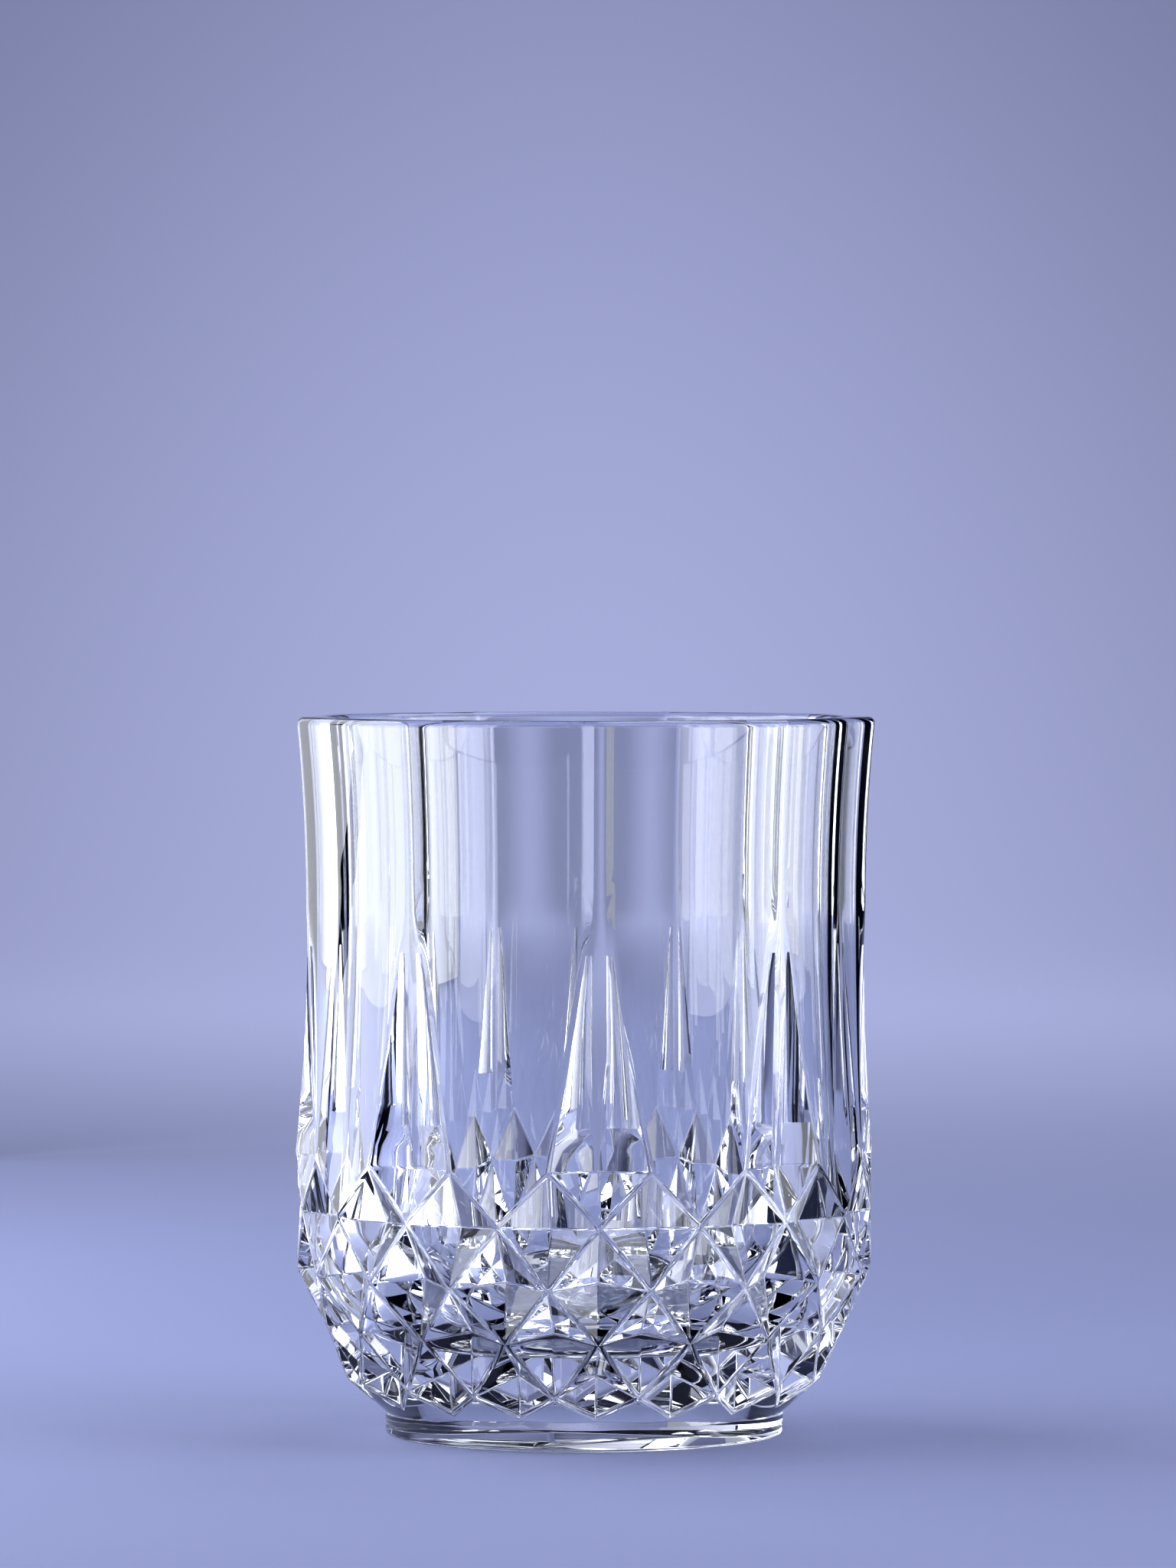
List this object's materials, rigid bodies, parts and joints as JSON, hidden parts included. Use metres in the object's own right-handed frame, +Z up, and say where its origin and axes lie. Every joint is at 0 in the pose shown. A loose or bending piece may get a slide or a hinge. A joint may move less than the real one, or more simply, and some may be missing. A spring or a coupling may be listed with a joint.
{
  "type": "whiskey tumbler",
  "caption": "Low clear glass tumbler: round bowl, flat upper panels with soft corners, tall cut spikes and a band of sunk diamonds over a plain round foot.",
  "frame": {"origin": "middle of the resting face, on the axis of the round bowl and foot", "axes": "+Z up out of the mouth of the bowl; -Y towards one of the spikes"},
  "size_m": [0.0768, 0.077, 0.095],
  "materials": {
    "clear_glass": "clear pressed soda-lime glass, fire polished, smooth on every face"
  },
  "bodies": {
    "root": {"glass_body": "clear_glass"}
  },
  "joints": []
}
